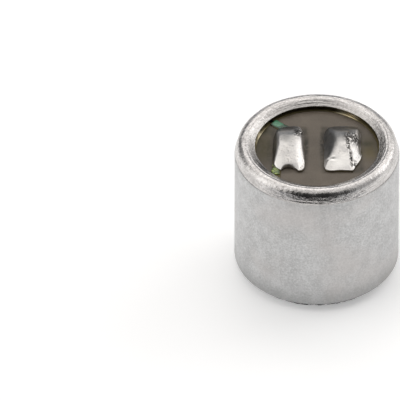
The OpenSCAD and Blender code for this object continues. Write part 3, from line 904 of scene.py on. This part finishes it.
def fibre_mesh(path, radius):
    """Points and faces of a three-sided tube along a path."""
    verts, faces = [], []
    for i, p in enumerate(path):
        ahead = (path[min(i + 1, len(path) - 1)] - path[max(i - 1, 0)]).normalized()
        side = ahead.cross(Vector((0.3, 0.1, 1))).normalized()
        up = side.cross(ahead)
        for a in (90, 210, 330):
            q = p + radius * (side * math.cos(math.radians(a)) + up * math.sin(math.radians(a)))
            verts.append(tuple(q))
    for i in range(len(path) - 1):
        for j in range(3):
            a, b = 3 * i + j, 3 * i + (j + 1) % 3
            faces.append((a, b, b + 3, a + 3))
    faces.append((2, 1, 0))
    end = 3 * (len(path) - 1)
    faces.append((end, end + 1, end + 2))
    return verts, faces


def felt_fibres():
    """Points and faces of all fibres, kept inside the felt's own disc."""
    dice = random.Random(7)
    meshes = []
    for i in range(FIBRES):
        on_rim = i % RIM_FIBRE_EVERY == 0
        turn = dice.uniform(0, 2 * math.pi)
        r = RIM_FIBRE_R if on_rim else FELT_R * math.sqrt(dice.random()) * FACE_SHARE
        z = dice.uniform(*(RIM_LAYER if on_rim else FACE_LAYER))
        p = Vector((r * math.cos(turn), r * math.sin(turn), z))
        heading = dice.uniform(0, 2 * math.pi)
        length = dice.uniform(*FIBRE_LENGTHS)
        bend = dice.uniform(-FIBRE_BEND, FIBRE_BEND)
        path = [p]
        for k in range(FIBRE_STEPS):
            heading += bend / FIBRE_STEPS
            rise = dice.uniform(-FIBRE_SLOPE, FIBRE_SLOPE)
            p = p + Vector((math.cos(heading), math.sin(heading), rise)) * length / FIBRE_STEPS
            away = math.hypot(p.x, p.y)
            most = FELT_R - FIBRE_R
            if away > most:
                p = Vector((p.x * most / away, p.y * most / away, p.z))
            p.z = min(max(p.z, FIBRE_R + FLOOR_GAP), FELT_T - FIBRE_R)
            path.append(p)
        meshes.append(fibre_mesh(path, FIBRE_R * dice.uniform(*FIBRE_R_SHARES)))
    return joined(*meshes)


felt_side = FELT_R - FELT_INSET
felt_corner = arc((felt_side - FELT_ROUND, FELT_RECESS + FELT_ROUND), FELT_ROUND, -90, 0, 6)
felt_disc = lathe_mesh([(0, FELT_RECESS)] + felt_corner + [(felt_side, FELT_T), (0, FELT_T)], DISC_STEPS)
felt_piece = add_mesh("felt", *joined(felt_disc, felt_fibres()), finishes["black_felt"])
smooth(felt_piece, sharp_angle=60)
place(felt_piece, "black_felt", "dust_felt")


# Floor, light and camera

FLOOR_HALF = 600
FLOOR_FRONT = -17
FLOOR_COLOUR = (0.88, 0.88, 0.88)
FLOOR_GLOW = 0.32
KEY_LIGHT_AT = (204, 150, 159)
KEY_LIGHT_SIZE = 160
KEY_LIGHT_POWER = 0.115


def lit_surface(name, colour, glow):
    """A stage surface that keeps shadows and looks white to the camera and in reflections."""
    material = bpy.data.materials.new(name)
    material.use_nodes = True
    graph = Graph(material.node_tree)
    graph.tree.nodes.clear()
    rays = graph.add("LightPath").outputs
    seen = graph.math("MAXIMUM", rays["Is Camera Ray"], rays["Is Glossy Ray"])
    seen = graph.math("MAXIMUM", seen, rays["Is Transmission Ray"])
    diffuse = graph.add("BsdfDiffuse", colour)
    emission = graph.add("Emission")
    graph.feed(emission.inputs["Strength"], graph.math("MULTIPLY", seen, glow))
    both = graph.add("AddShader", diffuse.outputs[0], emission.outputs[0])
    graph.add("OutputMaterial", both.outputs[0])
    return material


floor = add_mesh("floor", [(-FLOOR_HALF, FLOOR_FRONT, 0), (FLOOR_HALF, FLOOR_FRONT, 0),
                           (FLOOR_HALF, FLOOR_HALF, 0), (-FLOOR_HALF, FLOOR_HALF, 0)], [(0, 1, 2, 3)],
                 lit_surface("white_floor", FLOOR_COLOUR, FLOOR_GLOW))


def soft_room():
    """Room light: a pale ceiling that is brightest behind the capsule and dark towards the viewer.
    Each zone is a direction, the two angles between which it fades out, and its colour."""
    low_light = (0.36, 0.375, 0.4)
    ceiling = (0.95, 0.935, 0.92)
    ceiling_fade = (0.05, 0.45)
    zones = [((-0.95, 0, 0.12), 12, 40, (1.2, 1.2, 1.2)), ((0.95, 0, 0.12), 12, 40, (1.1, 1.1, 1.1)),
             ((-0.42, 0.58, 0.7), 15, 32, (1.35, 1.32, 1.29)), ((-0.68, 0.44, 0.58), 8, 18, (0.5, 0.5, 0.5)),
             ((-0.58, 0.7, 0.4), 8, 18, (0.38, 0.38, 0.38)), ((0.1, 0.75, 0.65), 18, 34, (1.3, 1.27, 1.25)),
             ((0, 0.55, 0.835), 7, 16, (2.2, 2.15, 2.1)),
             ((-0.8, -0.2, 0.55), 16, 40, (1.5, 1.48, 1.46)), ((0.85, -0.35, 0.45), 10, 35, (0.5, 0.5, 0.5)),
             ((0.56, 0.77, 0.3), 8, 28, (0.62, 0.605, 0.59)), ((-0.6, 0.78, 0.12), 14, 30, (0.1, 0.1, 0.1)),
             ((0, 0.98, 0.15), 14, 28, (0.2, 0.22, 0.25)), ((0, -0.91, 0.4), 40, 52, (0.03, 0.03, 0.03))]
    world = bpy.data.worlds.new("soft_room")
    bpy.context.scene.world = world
    world.use_nodes = True
    graph = Graph(world.node_tree)
    direction = graph.add("TexCoord").outputs["Generated"]
    high = graph.remap(graph.axis(direction, "Z"), *ceiling_fade, soft=True)
    colour = graph.blend(high, low_light, ceiling)
    for towards, inner, outer, zone_colour in zones:
        nearness = graph.vector("DOT_PRODUCT", direction, Vector(towards).normalized())
        fade = [math.cos(math.radians(angle)) for angle in (outer, inner)]
        colour = graph.blend(graph.remap(nearness, *fade, soft=True), colour, zone_colour)
    seen = graph.add("LightPath").outputs["Is Camera Ray"]
    graph.feed(graph.tree.nodes["Background"].inputs["Color"], graph.blend(seen, colour, (1, 1, 1)))


soft_room()

light = bpy.data.lights.new("key_light", "AREA")
light.size = KEY_LIGHT_SIZE * MM
light.energy = KEY_LIGHT_POWER
key_light = bpy.data.objects.new("key_light", light)
bpy.context.collection.objects.link(key_light)
key_light.location = Vector(KEY_LIGHT_AT) * MM
key_light.rotation_euler = (-key_light.location).to_track_quat("-Z", "Y").to_euler()
key_light.visible_camera = False

camera_data = bpy.data.cameras.new("camera")
camera = bpy.data.objects.new("camera", camera_data)
bpy.context.collection.objects.link(camera)
bpy.context.scene.camera = camera
camera_data.sensor_width = SENSOR
camera_data.lens = SENSOR * PIXELS_PER_MM * DISTANCE / FRAME_PIXELS
turn = Euler((math.radians(90 - ELEVATION), 0, 0)).to_matrix()
camera.rotation_euler = turn.to_euler()
right, up, ahead = turn.col[0], turn.col[1], -turn.col[2]
half = FRAME_PIXELS / 2
aim = Vector((0, 0, RIDGE_Z))
aim -= right * (RIM_PIXEL[0] - half) / PIXELS_PER_MM
aim -= up * (half - RIM_PIXEL[1]) / PIXELS_PER_MM
camera.location = (aim - ahead * DISTANCE) * MM

bpy.context.scene.view_settings.view_transform = "Standard"
